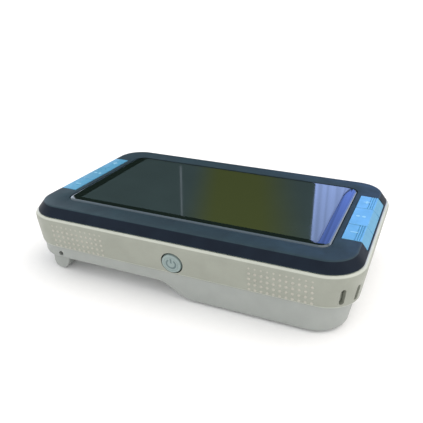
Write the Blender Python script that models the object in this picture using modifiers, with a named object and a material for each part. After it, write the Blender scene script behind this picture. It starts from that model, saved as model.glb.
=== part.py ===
"""Handheld electronic magnifier: a thin display case that arches over the page it looks at.

The case is a dark bezel, a cream middle frame and a cream rear cover. The cover is thin at the
left, where the camera looks down, and deep at the right, where the battery is. A foot folds out
of a channel at the left end and levels the case. X runs along the case, -Y is the front and +Z
is up. The origin is on the table, under the middle of the case.
"""
import math

import bmesh
import bpy
from mathutils import Matrix, Vector

MM = 0.001

# ---------------------------------------------------------------- driving dimensions, in mm
GAP = 0.3                     # clearance between two pieces that touch on the real object

# The case outline is a rounded rectangle where the bezel meets the frame. Other levels of the
# case are the same outline, moved in by an inset (a negative inset is outside it).
CASE_HALF_X = 75.0
CASE_HALF_Y = 46.3
CASE_RADIUS = 14.8
CORNER_STEPS = 6

SEAM_Z = 13.0                 # joint between rear cover and middle frame
RIM_Z = 28.0                  # joint between middle frame and bezel
TOP_Z = RIM_Z + 4.2           # flat top of the bezel

BEZEL_TOP_INSET = 3.0         # the bezel's side slopes in by this much
BEZEL_LIP_INSET = 1.0         # a lip under the bezel sits inside the frame
BEZEL_LIP_WALL = 1.6
BEZEL_LIP_DEPTH = 2.8
FRAME_WIDEST_INSET = -1.4
FRAME_WIDEST_Z = RIM_Z - 2.0
FRAME_FOOT_INSET = 0.4
FRAME_WALL = 1.9

# Rear cover: a shell with a thin end and a deep end, joined by a smooth arch.
COVER_INSET = 1.2
COVER_DRAFT = 0.3
COVER_WALL = 1.5
COVER_FILLET = 1.8
COVER_END_TOP_INSET = 0.9     # the deep end leans in more than the sides do
COVER_END_LOW_INSET = 2.4
COVER_END_SLOPE = 0.2
FILLET_STEPS = 3
THIN_Z = 6.9
DEEP_Z = 0.6
ARCH_START_X = -8.5
ARCH_END_X = 8.5
ARCH_STEPS = 12

# Display stack, from the top down.
WINDOW_HALF = (61.2, 33.6)
WINDOW_RADIUS = 4.8
WINDOW_PROUD = 0.2
WINDOW_THICK = 2.1
GASKET_THICK = 0.6
GASKET_WIDTH = 3.0
LEDGE_Z = TOP_Z - 3.1
BEZEL_UNDER_Z = TOP_Z - 4.3
PANEL_HALF = (59.2, 35.6)
PANEL_THICK = 2.4
TRAY_HALF = (60.2, 36.4)
TRAY_THICK = 2.6
BOSS_ROOT_Z = BEZEL_UNDER_Z + 0.5   # where the screw bosses start inside the bezel's plate

# Keys: three at each end, folded over the bezel's edge.
KEY_INNER_X = 63.9
KEY_FOLD_X = 71.7
KEY_EDGE_X = 74.4
KEY_TOP_Z = TOP_Z + 0.1
KEY_EDGE_Z = RIM_Z + 1.0
KEY_WALL = 1.5
KEY_ROW_MID_Y = 1.2
KEY_ROW_HALF = 23.9
KEY_SPLIT = 9.2
KEY_RIB_HALF = 1.2
KEY_RIB_X = 67.8
KEY_STRIP_Z = RIM_Z + 0.4     # top of the bezel strip that is left below the keys
KEY_OPENING_X = 71.5
KEY_BOARD_TOP_Z = RIM_Z - 1.8
SWITCH_HALF = 3.0

# Power button, in the middle of the front face.
BUTTON_X = 0.3
BUTTON_Z = RIM_Z - 9.3
BUTTON_RADIUS = 4.4
BUTTON_FACE_Y = -46.3

# Fold-out foot.
PIVOT_X = -58.3
PIVOT_Z = 9.6
PIN_RADIUS = 1.0
PIN_HALF_LENGTH = 43.6
HUB_RADIUS = 2.7
HUB_HALF_Y = 41.4
BLADE_HALF_Y = 42.5
FOOT_BOTTOM_Z = 0.5
CHANNEL_TOP_Z = PIVOT_Z + 3.5
CHANNEL_HUB_TOP_Z = PIVOT_Z + 3.1
CHANNEL_LEFT_X = PIVOT_X - 3.1
CHANNEL_STEP_X = PIVOT_X + 0.4
CHANNEL_RIGHT_X = PIVOT_X + 10.1
CHANNEL_HUB_HALF_Y = 41.7
CHANNEL_BLADE_HALF_Y = 42.8
CHANNEL_WALL = 0.9

# Main board and what it carries.
BOARD_LOW = (-45.0, -41.5, 19.7)
BOARD_HIGH = (61.0, 41.5, 21.3)
BOARD_SCREW_PLACES = ((-42.0, 39.0), (-42.0, -39.0), (57.0, 39.0), (57.0, -39.0))
SOCKET_LOW = (25.9, 38.5, 15.6)
SOCKET_HIGH = (34.1, 46.0, BOARD_LOW[2] - GAP)
CAMERA_X = -26.0
LED_OFFSET_X = 12.0

# Case screws, one near each corner.
SCREW_SPOTS = ((-67.6, 34.0, "left"), (64.8, 33.4, "right"))
SCREW_TOP_Z = 21.0
SCREW_RADIUS = 1.25
SCREW_HEAD_RADIUS = 2.5
SCREW_HEAD_HEIGHT = 1.6
BOARD_SCREW_RADIUS = 0.9

# Battery bay in the deep end.
DOOR_LOW = (14.5, -25.9)
DOOR_HIGH = (61.9, 25.9)

# Rubber rest pads under the deep end, one towards the front and one towards the back.
PAD_LOW_X = 46.0
PAD_HIGH_X = 60.0
PAD_NEAR_Y = 30.0
PAD_FAR_Y = 38.0

# Strap slots in the frame's front right corner, as angles round the corner's centre.
STRAP_ANGLES = (-51.0, -23.0)
STRAP_WIDTH = 2.7
STRAP_HEIGHT = 7.7
STRAP_Z = RIM_Z - 9.7

CREAM = (0.40, 0.41, 0.37, 1.0)
NAVY = (0.035, 0.055, 0.085, 1.0)
KEY_BLUE = (0.19, 0.40, 0.62, 1.0)
GLASS = (0.02, 0.025, 0.03, 1.0)
SCREEN = (0.05, 0.07, 0.04, 1.0)
STEEL = (0.55, 0.55, 0.56, 1.0)
BOARD_GREEN = (0.02, 0.16, 0.06, 1.0)
RUBBER = (0.03, 0.03, 0.03, 1.0)
BLACK = (0.02, 0.02, 0.02, 1.0)
BATTERY_GREY = (0.10, 0.12, 0.14, 1.0)
LED_CLEAR = (0.85, 0.86, 0.80, 1.0)

for old in list(bpy.data.objects):
    bpy.data.objects.remove(old, do_unlink=True)


def new_collection(name):
    collection = bpy.data.collections.new(name)
    bpy.context.scene.collection.children.link(collection)
    return collection


SIDES = ((-1, "left"), (1, "right"))
ENDS = ((-1, "front"), (1, "back"))
PARTS = new_collection("handheld_magnifier")
TOOLS = new_collection("cutters")


# ---------------------------------------------------------------- helpers
def finish_material(obj, colour, roughness, metallic):
    material = bpy.data.materials.new(obj.name)
    material.use_nodes = True
    shader = material.node_tree.nodes["Principled BSDF"]
    shader.inputs["Base Color"].default_value = colour
    shader.inputs["Roughness"].default_value = roughness
    shader.inputs["Metallic"].default_value = metallic
    obj.data.materials.append(material)


def place(name, bm, look=None, at=(0.0, 0.0, 0.0), closed=True):
    """Makes an object from a bmesh in mm. A piece has a look; a cutter has none."""
    if closed:
        bmesh.ops.recalc_face_normals(bm, faces=bm.faces)
    bmesh.ops.scale(bm, vec=(MM, MM, MM), verts=bm.verts)
    mesh = bpy.data.meshes.new(name)
    bm.to_mesh(mesh)
    bm.free()
    obj = bpy.data.objects.new(name, mesh)
    obj.location = Vector(at) * MM
    if look is None:
        TOOLS.objects.link(obj)
        obj.hide_render = True
        obj.display_type = "WIRE"
    else:
        PARTS.objects.link(obj)
        finish_material(obj, *look)
    return obj


def smooth(obj, angle=35.0):
    obj.data.shade_smooth()
    obj.data.set_sharp_from_angle(angle=math.radians(angle))


def boolean(obj, tool, operation):
    modifier = obj.modifiers.new(tool.name, "BOOLEAN")
    modifier.operation = operation
    modifier.solver = "EXACT"
    modifier.object = tool


def cut(obj, tool):
    boolean(obj, tool, "DIFFERENCE")


def join(obj, tool):
    boolean(obj, tool, "UNION")


def soften(obj, width, segments=2, angle=40.0):
    bevel = obj.modifiers.new("soft_edges", "BEVEL")
    bevel.width = width * MM
    bevel.segments = segments
    bevel.limit_method = "ANGLE"
    bevel.angle_limit = math.radians(angle)


def block(name, low, high, look=None):
    size = [b - a for a, b in zip(low, high)]
    middle = [(a + b) / 2 for a, b in zip(low, high)]
    bm = bmesh.new()
    bmesh.ops.create_cube(bm, size=1.0)
    bmesh.ops.scale(bm, vec=size, verts=bm.verts)
    return place(name, bm, look, middle)


def cylinder(name, centre, radius, length, axis="Z", look=None, sides=24):
    turn = {"X": Matrix.Rotation(math.pi / 2, 4, "Y"),
            "Y": Matrix.Rotation(math.pi / 2, 4, "X"),
            "Z": Matrix.Identity(4)}[axis]
    bm = bmesh.new()
    bmesh.ops.create_cone(bm, cap_ends=True, segments=sides, radius1=radius, radius2=radius,
                          depth=length, matrix=turn)
    return place(name, bm, look, centre)


def post(name, spot, radius, low_z, high_z, look=None, sides=24):
    """An upright cylinder between two heights."""
    return cylinder(name, (*spot, (low_z + high_z) / 2), radius, high_z - low_z, look=look,
                    sides=sides)


def turned(name, profile, look, at, steps=20, tilt=(0.0, 0.0, 0.0)):
    """Turns a profile about Z: (radius, height) points from the axis at its foot to its top."""
    bm = bmesh.new()
    verts = [bm.verts.new((radius, 0.0, height)) for radius, height in reversed(profile)]
    for a, b in zip(verts, verts[1:]):
        bm.edges.new((a, b))
    obj = place(name, bm, look, at)
    obj.rotation_euler = tilt
    screw = obj.modifiers.new("turn", "SCREW")
    screw.axis = "Z"
    screw.steps = steps
    screw.render_steps = steps
    screw.use_merge_vertices = True
    screw.merge_threshold = 0.00001
    screw.use_smooth_shade = False
    return obj


def ring(half_x, half_y, radius, z, stations=(), shift=0.0):
    """Points of a rounded rectangle, anticlockwise from its right front corner.

    The stations are extra x places on the two long sides. z is a height, or a function of x.
    The shift moves the whole rectangle along x.
    """
    corner_x = half_x - radius
    corner_y = half_y - radius
    points = []
    for quarter, (sx, sy) in enumerate(((1, -1), (1, 1), (-1, 1), (-1, -1))):
        for step in range(CORNER_STEPS + 1):
            angle = math.radians(-90.0 + 90.0 * (quarter + step / CORNER_STEPS))
            points.append((shift + sx * corner_x + radius * math.cos(angle),
                           sy * corner_y + radius * math.sin(angle)))
        if quarter == 1:
            points.extend((x, half_y) for x in reversed(stations))
        if quarter == 3:
            points.extend((x, -half_y) for x in stations)
    height = z if callable(z) else (lambda x: z)
    return [(x, y, height(x)) for x, y in points]


def case_ring(inset, z, stations=(), right_inset=0.0):
    """The case outline moved in by an inset, with its right end moved in further."""
    half_x = CASE_HALF_X - inset - right_inset / 2
    return ring(half_x, CASE_HALF_Y - inset, CASE_RADIUS - inset, z, stations,
                -right_inset / 2)


def loft(rings, closed):
    """Skins rings of equal length. A closed loft is a hoop; an open one is left open."""
    bm = bmesh.new()
    rows = [[bm.verts.new(point) for point in points] for points in rings]
    pairs = list(zip(rows, rows[1:]))
    if closed:
        pairs.append((rows[-1], rows[0]))
    count = len(rows[0])
    for lower, upper in pairs:
        for i in range(count):
            j = (i + 1) % count
            bm.faces.new((lower[i], lower[j], upper[j], upper[i]))
    return bm, rows


def plate(name, half, radius, low, high, look=None, at=(0.0, 0.0)):
    """A flat plate with rounded corners."""
    bm, rows = loft([ring(half[0], half[1], radius, low), ring(half[0], half[1], radius, high)],
                    closed=False)
    bm.faces.new(list(reversed(rows[0])))
    bm.faces.new(rows[1])
    return place(name, bm, look, (at[0], at[1], 0.0))


def prism(name, outline, low_y, high_y, look=None):
    """An outline in the XZ plane, drawn out along Y."""
    bm = bmesh.new()
    face = bm.faces.new([bm.verts.new((x, low_y, z)) for x, z in outline])
    grown = bmesh.ops.extrude_face_region(bm, geom=[face])
    moved = [item for item in grown["geom"] if isinstance(item, bmesh.types.BMVert)]
    bmesh.ops.translate(bm, vec=(0.0, high_y - low_y, 0.0), verts=moved)
    return place(name, bm, look)


def cover_bottom(x):
    """Height of the cover's underside: thin at the left, deep at the right."""
    t = (x - ARCH_START_X) / (ARCH_END_X - ARCH_START_X)
    t = min(1.0, max(0.0, t))
    return THIN_Z + (DEEP_Z - THIN_Z) * t * t * (3.0 - 2.0 * t)


# ---------------------------------------------------------------- bezel and display
def make_front_bezel():
    window_x, window_y = WINDOW_HALF
    pocket = (window_x + GAP, window_y + GAP, WINDOW_RADIUS + GAP)
    sight = (window_x - 3.5, window_y - 2.1, 2.0)
    rings = [
        case_ring(0.0, RIM_Z),
        case_ring(0.25, RIM_Z + 1.0),
        case_ring(BEZEL_TOP_INSET - 0.5, TOP_Z - 0.5),
        case_ring(BEZEL_TOP_INSET, TOP_Z),
        ring(*pocket, TOP_Z),
        ring(*pocket, LEDGE_Z),
        ring(*sight, LEDGE_Z),
        ring(*sight, BEZEL_UNDER_Z),
        case_ring(BEZEL_TOP_INSET + BEZEL_LIP_WALL, BEZEL_UNDER_Z),
        case_ring(BEZEL_LIP_INSET + BEZEL_LIP_WALL, RIM_Z - BEZEL_LIP_DEPTH),
        case_ring(BEZEL_LIP_INSET, RIM_Z - BEZEL_LIP_DEPTH),
        case_ring(BEZEL_LIP_INSET, RIM_Z),
    ]
    bm, _ = loft(rings, closed=True)
    bezel = place("front_bezel", bm, (NAVY, 0.45, 0.0))
    low_z = SEAM_Z + 1.0
    for x, y, hand in SCREW_SPOTS:
        for mark, end in ENDS:
            spot = (x, mark * y)
            join(bezel, post(f"case_boss_{hand}_{end}", spot, 3.2, low_z, BOSS_ROOT_Z))
            cut(bezel, post(f"case_bore_{hand}_{end}", spot, SCREW_RADIUS + GAP, low_z - 2.0,
                            SCREW_TOP_Z + 1.5))
    for side, hand in SIDES:
        cut(bezel, key_row_cutter(f"key_pocket_{hand}", side, 80.0, KEY_STRIP_Z, TOP_Z + 5.0))
        cut(bezel, key_row_cutter(f"key_opening_{hand}", side, KEY_OPENING_X, RIM_Z - 8.0,
                                  KEY_STRIP_Z + 1.0))
    board_top = BOARD_HIGH[2]
    for index, spot in enumerate(BOARD_SCREW_PLACES):
        join(bezel, post(f"board_boss_{index}", spot, 2.3, board_top + GAP, BOSS_ROOT_Z))
        cut(bezel, post(f"board_bore_{index}", spot, BOARD_SCREW_RADIUS + GAP, board_top - 2.0,
                        board_top + 5.0))
    smooth(bezel)


def key_row_cutter(name, side, outer_x, low_z, high_z):
    low_x, high_x = sorted((side * (KEY_INNER_X - GAP), side * outer_x))
    reach = KEY_ROW_HALF + GAP
    return block(name, (low_x, KEY_ROW_MID_Y - reach, low_z),
                 (high_x, KEY_ROW_MID_Y + reach, high_z))


def make_display():
    window_x, window_y = WINDOW_HALF
    top = TOP_Z + WINDOW_PROUD
    low = top - WINDOW_THICK
    rings = [
        ring(window_x, window_y, WINDOW_RADIUS, low),
        ring(window_x, window_y, WINDOW_RADIUS, top - 0.5),
        ring(window_x - 0.5, window_y - 0.5, WINDOW_RADIUS - 0.5, top),
    ]
    bm, rows = loft(rings, closed=False)
    bm.faces.new(list(reversed(rows[0])))
    bm.faces.new(rows[-1])
    place("display_window", bm, (GLASS, 0.06, 0.0))

    inner = (window_x - GASKET_WIDTH, window_y - 1.9, WINDOW_RADIUS - 1.9)
    high = low - GAP
    rings = [
        ring(window_x, window_y, WINDOW_RADIUS, high - GASKET_THICK),
        ring(window_x, window_y, WINDOW_RADIUS, high),
        ring(*inner, high),
        ring(*inner, high - GASKET_THICK),
    ]
    bm, _ = loft(rings, closed=True)
    place("window_gasket", bm, (BLACK, 0.9, 0.0))

    panel_top = BEZEL_UNDER_Z - GAP
    panel_low = panel_top - PANEL_THICK
    plate("lcd_panel", PANEL_HALF, 1.0, panel_low, panel_top, (SCREEN, 0.3, 0.0))
    tray_top = panel_low - GAP
    plate("lcd_backlight_tray", TRAY_HALF, 1.5, tray_top - TRAY_THICK, tray_top,
          (STEEL, 0.35, 1.0))


# ---------------------------------------------------------------- keys
def make_keys():
    """Six keys, with a rib under each that presses its switch."""
    split = GAP / 2
    rows = {"front": (-KEY_ROW_HALF, -KEY_SPLIT - split),
            "middle": (-KEY_SPLIT + split, KEY_SPLIT - split),
            "back": (KEY_SPLIT + split, KEY_ROW_HALF)}
    under = KEY_TOP_Z - KEY_WALL
    outline = [
        (KEY_INNER_X, KEY_TOP_Z), (KEY_INNER_X, under),
        (KEY_RIB_X - KEY_RIB_HALF, under), (KEY_RIB_X - KEY_RIB_HALF, KEY_EDGE_Z),
        (KEY_RIB_X + KEY_RIB_HALF, KEY_EDGE_Z), (KEY_RIB_X + KEY_RIB_HALF, under),
        (KEY_FOLD_X - 0.8, under), (KEY_EDGE_X - KEY_WALL, KEY_EDGE_Z + 0.6),
        (KEY_EDGE_X - KEY_WALL, KEY_EDGE_Z), (KEY_EDGE_X, KEY_EDGE_Z),
        (KEY_FOLD_X + 0.45, KEY_TOP_Z - 0.35), (KEY_FOLD_X, KEY_TOP_Z),
    ]
    for side, hand in SIDES:
        for row, (low_y, high_y) in rows.items():
            prism(f"key_{hand}_{row}", [(side * x, z) for x, z in outline],
                  KEY_ROW_MID_Y + low_y, KEY_ROW_MID_Y + high_y, (KEY_BLUE, 0.4, 0.0))
            make_key_switch(f"key_switch_{hand}_{row}", side * KEY_RIB_X,
                            KEY_ROW_MID_Y + (low_y + high_y) / 2)
        low_x, high_x = sorted((side * (KEY_RIB_X - 5.5), side * (KEY_RIB_X + 3.8)))
        reach = KEY_ROW_HALF + 1.6
        block(f"key_board_{hand}", (low_x, KEY_ROW_MID_Y - reach, KEY_BOARD_TOP_Z - 1.2),
              (high_x, KEY_ROW_MID_Y + reach, KEY_BOARD_TOP_Z), (BOARD_GREEN, 0.5, 0.0))


def make_key_switch(name, x, y):
    """A square tact switch: a body with a round-cornered stem pulled out of its top."""
    low = KEY_BOARD_TOP_Z + 0.1
    body_top = low + 1.2
    stem_top = KEY_EDGE_Z - 0.6
    bm = bmesh.new()
    bmesh.ops.create_cube(bm, size=1.0)
    bmesh.ops.scale(bm, vec=(2 * SWITCH_HALF, 2 * SWITCH_HALF, body_top - low), verts=bm.verts)
    bmesh.ops.translate(bm, vec=(0.0, 0.0, (low + body_top) / 2), verts=bm.verts)
    top = [face for face in bm.faces if face.normal.z > 0.9]
    bmesh.ops.inset_region(bm, faces=top, thickness=1.5)
    grown = bmesh.ops.extrude_face_region(bm, geom=top)
    bmesh.ops.delete(bm, geom=top, context="FACES_ONLY")
    moved = [item for item in grown["geom"] if isinstance(item, bmesh.types.BMVert)]
    bmesh.ops.translate(bm, vec=(0.0, 0.0, stem_top - body_top), verts=moved)
    place(name, bm, (BLACK, 0.5, 0.0), (x, y, 0.0))


# ---------------------------------------------------------------- middle frame
def make_middle_frame():
    low = SEAM_Z + GAP / 2
    top = RIM_Z - GAP
    rings = [
        case_ring(-0.1, top),
        case_ring(-1.0, top - 0.5),
        case_ring(FRAME_WIDEST_INSET, FRAME_WIDEST_Z),
        case_ring(FRAME_FOOT_INSET, low + 0.4),
        case_ring(FRAME_FOOT_INSET + 0.3, low),
        case_ring(FRAME_FOOT_INSET + FRAME_WALL, low),
        case_ring(0.7, RIM_Z - 3.2),
        case_ring(0.7, top),
    ]
    bm, _ = loft(rings, closed=True)
    frame = place("middle_frame", bm, (CREAM, 0.5, 0.0))
    cut(frame, cylinder("button_hole", (BUTTON_X, -CASE_HALF_Y, BUTTON_Z), BUTTON_RADIUS + GAP, 8.0,
                        axis="Y", sides=32))
    for index, degrees in enumerate(STRAP_ANGLES):
        slot = plate(f"strap_slot_{index}", (STRAP_HEIGHT / 2, STRAP_WIDTH / 2),
                     STRAP_WIDTH / 2 - 0.01, -5.0, 5.0)
        angle = math.radians(degrees)
        centre = Vector((CASE_HALF_X - CASE_RADIUS, CASE_RADIUS - CASE_HALF_Y, STRAP_Z))
        outward = Vector((math.cos(angle), math.sin(angle), 0.0))
        across = Vector((-math.sin(angle), math.cos(angle), 0.0))
        axes = Matrix((Vector((0, 0, 1)), across, outward)).transposed().to_4x4()
        slot.matrix_world = Matrix.Translation((centre + outward * CASE_RADIUS) * MM) @ axes
        cut(frame, slot)
    cut(frame, block("socket_hole", (SOCKET_LOW[0] - GAP, 40.0, SOCKET_LOW[2] - GAP),
                     (SOCKET_HIGH[0] + GAP, 52.0, SOCKET_HIGH[2] + GAP)))
    smooth(frame)


# ---------------------------------------------------------------- rear cover and battery bay
def make_rear_cover():
    """An open shell with an arched floor, then its channel, posts and openings."""
    run = ARCH_END_X - ARCH_START_X
    stations = [ARCH_START_X + run * step / ARCH_STEPS for step in range(ARCH_STEPS + 1)]
    rings = []
    for step in range(FILLET_STEPS + 1):
        angle = math.radians(90.0 * step / FILLET_STEPS)
        inset = COVER_INSET + COVER_DRAFT + COVER_FILLET * (1.0 - math.sin(angle))
        rise = COVER_FILLET * (1.0 - math.cos(angle))
        rings.append(case_ring(inset, lambda x, rise=rise: cover_bottom(x) + rise, stations,
                               COVER_END_LOW_INSET + COVER_END_SLOPE * (FILLET_STEPS - step)))
    rings.append(case_ring(COVER_INSET, SEAM_Z - GAP / 2, stations, COVER_END_TOP_INSET))
    bm, rows = loft(rings, closed=False)
    by_place = sorted(rows[0], key=lambda vert: (round(vert.co.x, 3), vert.co.y))
    pairs = [by_place[i:i + 2] for i in range(0, len(by_place), 2)]
    for (front_a, back_a), (front_b, back_b) in zip(pairs, pairs[1:]):
        bm.faces.new((front_a, back_a, back_b, front_b))
    cover = place("rear_cover", bm, (CREAM, 0.5, 0.0), closed=False)
    shell = cover.modifiers.new("wall", "SOLIDIFY")
    shell.thickness = COVER_WALL * MM
    shell.offset = -1.0
    shell.use_even_offset = True

    wall = CHANNEL_WALL
    join(cover, block("channel_shell_hub",
                      (CHANNEL_LEFT_X - wall, -CHANNEL_HUB_HALF_Y - wall, THIN_Z + 0.8),
                      (CHANNEL_STEP_X - 0.5, CHANNEL_HUB_HALF_Y + wall,
                       CHANNEL_HUB_TOP_Z + wall)))
    join(cover, block("channel_shell_blade",
                      (CHANNEL_STEP_X - wall - 0.4, -CHANNEL_BLADE_HALF_Y - wall,
                       THIN_Z + 0.6),
                      (CHANNEL_RIGHT_X + wall, CHANNEL_BLADE_HALF_Y + wall,
                       CHANNEL_TOP_Z + wall)))
    cut(cover, block("channel_hub", (CHANNEL_LEFT_X, -CHANNEL_HUB_HALF_Y, THIN_Z - 6.0),
                     (CHANNEL_STEP_X + 1.0, CHANNEL_HUB_HALF_Y, CHANNEL_HUB_TOP_Z)))
    cut(cover, block("channel_blade", (CHANNEL_STEP_X, -CHANNEL_BLADE_HALF_Y, THIN_Z - 5.0),
                     (CHANNEL_RIGHT_X, CHANNEL_BLADE_HALF_Y, CHANNEL_TOP_Z)))
    cut(cover, cylinder("pin_bore", (PIVOT_X, 0.0, PIVOT_Z), PIN_RADIUS + 0.2, 110.0, axis="Y",
                        sides=16))
    for x, y, hand in SCREW_SPOTS:
        floor_z = cover_bottom(x)
        seat_z = screw_seat(x)
        for mark, end in ENDS:
            spot = (x, mark * y)
            join(cover, post(f"post_{hand}_{end}", spot, 3.6, floor_z + 0.8, SEAM_Z + 0.7))
            cut(cover, post(f"counterbore_{hand}_{end}", spot, SCREW_HEAD_RADIUS + 0.4,
                            seat_z - 10.0, seat_z))
            cut(cover, post(f"screw_hole_{hand}_{end}", spot, SCREW_RADIUS + GAP, 0.0, 20.0))
    low_x, low_y = DOOR_LOW
    high_x, high_y = DOOR_HIGH
    cut(cover, block("door_opening", (low_x - GAP, low_y - GAP, -5.0),
                     (high_x + GAP, high_y + GAP, 5.0)))
    cut(cover, cylinder("camera_hole", (CAMERA_X, 0.0, THIN_Z), 7.3, 8.0, sides=32))
    for side in (-1, 1):
        cut(cover, cylinder(f"led_hole_{side + 1}", (CAMERA_X + side * LED_OFFSET_X, 0.0, THIN_Z),
                            2.8, 8.0, sides=16))
    for mark in (-1, 1):
        low_y, high_y = sorted((mark * (PAD_NEAR_Y - GAP), mark * (PAD_FAR_Y + GAP)))
        cut(cover, block(f"pad_recess_{mark + 1}", (PAD_LOW_X - GAP, low_y, -2.0),
                         (PAD_HIGH_X + GAP, high_y, DEEP_Z + 0.65)))
    # The arch warps the shell's faces, and the exact solver loses unions on them.
    for modifier in cover.modifiers:
        if modifier.type == "BOOLEAN":
            modifier.solver = "MANIFOLD"
    smooth(cover)


def screw_seat(x):
    """Height of the ledge that a case screw's head bears on."""
    return cover_bottom(x) + (2.7 if x < 0 else 3.8)


def make_battery_bay():
    low_x, low_y = DOOR_LOW
    high_x, high_y = DOOR_HIGH
    door = block("battery_door", (low_x, low_y, DEEP_Z), (high_x, high_y, DEEP_Z + 1.6),
                 (CREAM, 0.5, 0.0))
    soften(door, 0.25, segments=1)
    battery = block("battery", (17.0, -24.0, 2.8), (59.0, 24.0, 11.6), (BATTERY_GREY, 0.5, 0.0))
    soften(battery, 1.0)
    block("battery_contacts", (59.6, -6.0, 3.4), (63.0, 6.0, 10.4), (BLACK, 0.5, 0.0))
    for mark, end in ENDS:
        low_y, high_y = sorted((mark * PAD_NEAR_Y, mark * PAD_FAR_Y))
        block(f"rest_pad_{end}", (PAD_LOW_X, low_y, 0.0), (PAD_HIGH_X, high_y, DEEP_Z + 0.35),
              (RUBBER, 0.9, 0.0))


# ---------------------------------------------------------------- fold-out foot
def make_foot():
    """A bar with a round hub on the pin; its blade is wider than the hub."""
    hub = []
    for step in range(9):
        angle = math.radians(-10.0 + 200.0 * step / 8)
        hub.append((PIVOT_X + HUB_RADIUS * math.cos(angle),
                    PIVOT_Z + HUB_RADIUS * math.sin(angle)))
    waist_z = THIN_Z - 0.2
    bar = hub + [(PIVOT_X - 2.8, waist_z - 0.5), (PIVOT_X + 2.6, waist_z - 0.5)]
    low_z = FOOT_BOTTOM_Z
    blade = [(PIVOT_X - 6.5, waist_z), (PIVOT_X - 6.4, low_z + 3.2), (PIVOT_X - 5.7, low_z + 1.5),
             (PIVOT_X - 4.7, low_z + 0.5), (PIVOT_X - 3.3, low_z), (PIVOT_X - 1.2, low_z),
             (PIVOT_X + 0.2, low_z + 0.7), (PIVOT_X + 1.2, low_z + 2.0),
             (PIVOT_X + 2.0, low_z + 4.0), (PIVOT_X + 2.6, waist_z)]
    foot = prism("foot", bar, -HUB_HALF_Y, HUB_HALF_Y, (CREAM, 0.5, 0.0))
    join(foot, prism("foot_blade", blade, -BLADE_HALF_Y, BLADE_HALF_Y))
    cut(foot, cylinder("foot_bore", (PIVOT_X, 0.0, PIVOT_Z), PIN_RADIUS + 0.2, 110.0, axis="Y",
                       sides=16))
    cut(foot, block("pad_groove", (PIVOT_X - 3.3, -38.3, -2.0),
                    (PIVOT_X - 1.3, 38.3, FOOT_BOTTOM_Z + 0.7)))
    smooth(foot)
    set_origin(foot, (PIVOT_X, 0.0, PIVOT_Z))
    cylinder("foot_pin", (PIVOT_X, 0.0, PIVOT_Z), PIN_RADIUS, 2 * PIN_HALF_LENGTH, axis="Y",
             look=(STEEL, 0.3, 1.0), sides=16)
    block("foot_pad", (PIVOT_X - 3.0, -38.0, 0.0), (PIVOT_X - 1.6, 38.0, FOOT_BOTTOM_Z + 0.4),
          (RUBBER, 0.9, 0.0))


def set_origin(obj, point):
    """Moves an object's origin onto its joint's axis and leaves its mesh where it is."""
    shift = Vector(point) * MM - obj.location
    obj.data.transform(Matrix.Translation(-shift))
    obj.location += shift


# ---------------------------------------------------------------- power button and boards
def make_power_button():
    """A round cap with a flange behind the wall and a stem that meets the switch."""
    flange = BUTTON_RADIUS + 0.7
    profile = [(0.0, 0.0), (BUTTON_RADIUS - 0.4, 0.0), (BUTTON_RADIUS, 0.3),
               (BUTTON_RADIUS, 2.8), (flange, 2.8), (flange, 3.6), (0.8, 3.6), (0.8, 4.4),
               (0.0, 4.4)]
    button = turned("power_button", profile, (CREAM, 0.4, 0.0),
                    (BUTTON_X, BUTTON_FACE_Y, BUTTON_Z), steps=32,
                    tilt=(-math.pi / 2, 0.0, 0.0))
    smooth(button)
    block("power_switch", (BUTTON_X - 3.5, BUTTON_FACE_Y + 5.4, BOARD_LOW[2] - GAP - 2.7),
          (BUTTON_X + 3.5, BUTTON_FACE_Y + 10.0, BOARD_LOW[2] - GAP), (BLACK, 0.5, 0.0))


def make_boards():
    board = block("main_board", BOARD_LOW, BOARD_HIGH, (BOARD_GREEN, 0.5, 0.0))
    under = BOARD_LOW[2] - GAP
    radius = BOARD_SCREW_RADIUS
    for index, spot in enumerate(BOARD_SCREW_PLACES):
        cut(board, post(f"board_hole_{index}", spot, radius + GAP, under, BOARD_HIGH[2] + 1.0))
        profile = [(0.0, 0.0), (radius + 1.0, 0.0), (radius + 1.0, 1.1), (radius, 1.1),
                   (radius, 7.0), (0.0, 7.0)]
        turned(f"board_screw_{index + 1}", profile, (STEEL, 0.3, 1.0), (*spot, under - 1.1),
               steps=12)
    block("shield_can", (2.0, 4.0, under - 2.8), (40.0, 34.0, under), (STEEL, 0.4, 1.0))
    socket = block("charging_socket", SOCKET_LOW, SOCKET_HIGH, (STEEL, 0.35, 1.0))
    low_x, low_y, low_z = SOCKET_LOW
    high_x, high_y, high_z = SOCKET_HIGH
    cut(socket, block("socket_mouth", (low_x + 0.9, low_y + 2.5, low_z + 0.9),
                      (high_x - 0.9, high_y + 4.0, high_z - 0.9)))


def make_camera():
    """The camera looks down through a window in the arch, between two lamps."""
    cylinder("camera_window", (CAMERA_X, 0.0, THIN_Z + 0.8), 7.0, 1.2,
             look=(GLASS, 0.05, 0.0), sides=32)
    top = BOARD_LOW[2] - GAP
    profile = [(0.0, THIN_Z + 1.8), (4.6, THIN_Z + 1.8), (4.6, 13.0), (6.5, 13.0), (6.5, top),
               (0.0, top)]
    turned("camera_module", profile, (BLACK, 0.4, 0.0), (CAMERA_X, 0.0, 0.0), steps=24)
    profile = [(0.0, THIN_Z + 0.2), (1.5, THIN_Z + 0.5), (2.2, THIN_Z + 1.2),
               (2.5, THIN_Z + 2.2), (2.5, top), (0.0, top)]
    for side, hand in SIDES:
        turned(f"lamp_{hand}", profile, (LED_CLEAR, 0.2, 0.0),
               (CAMERA_X + side * LED_OFFSET_X, 0.0, 0.0), steps=16)


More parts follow.
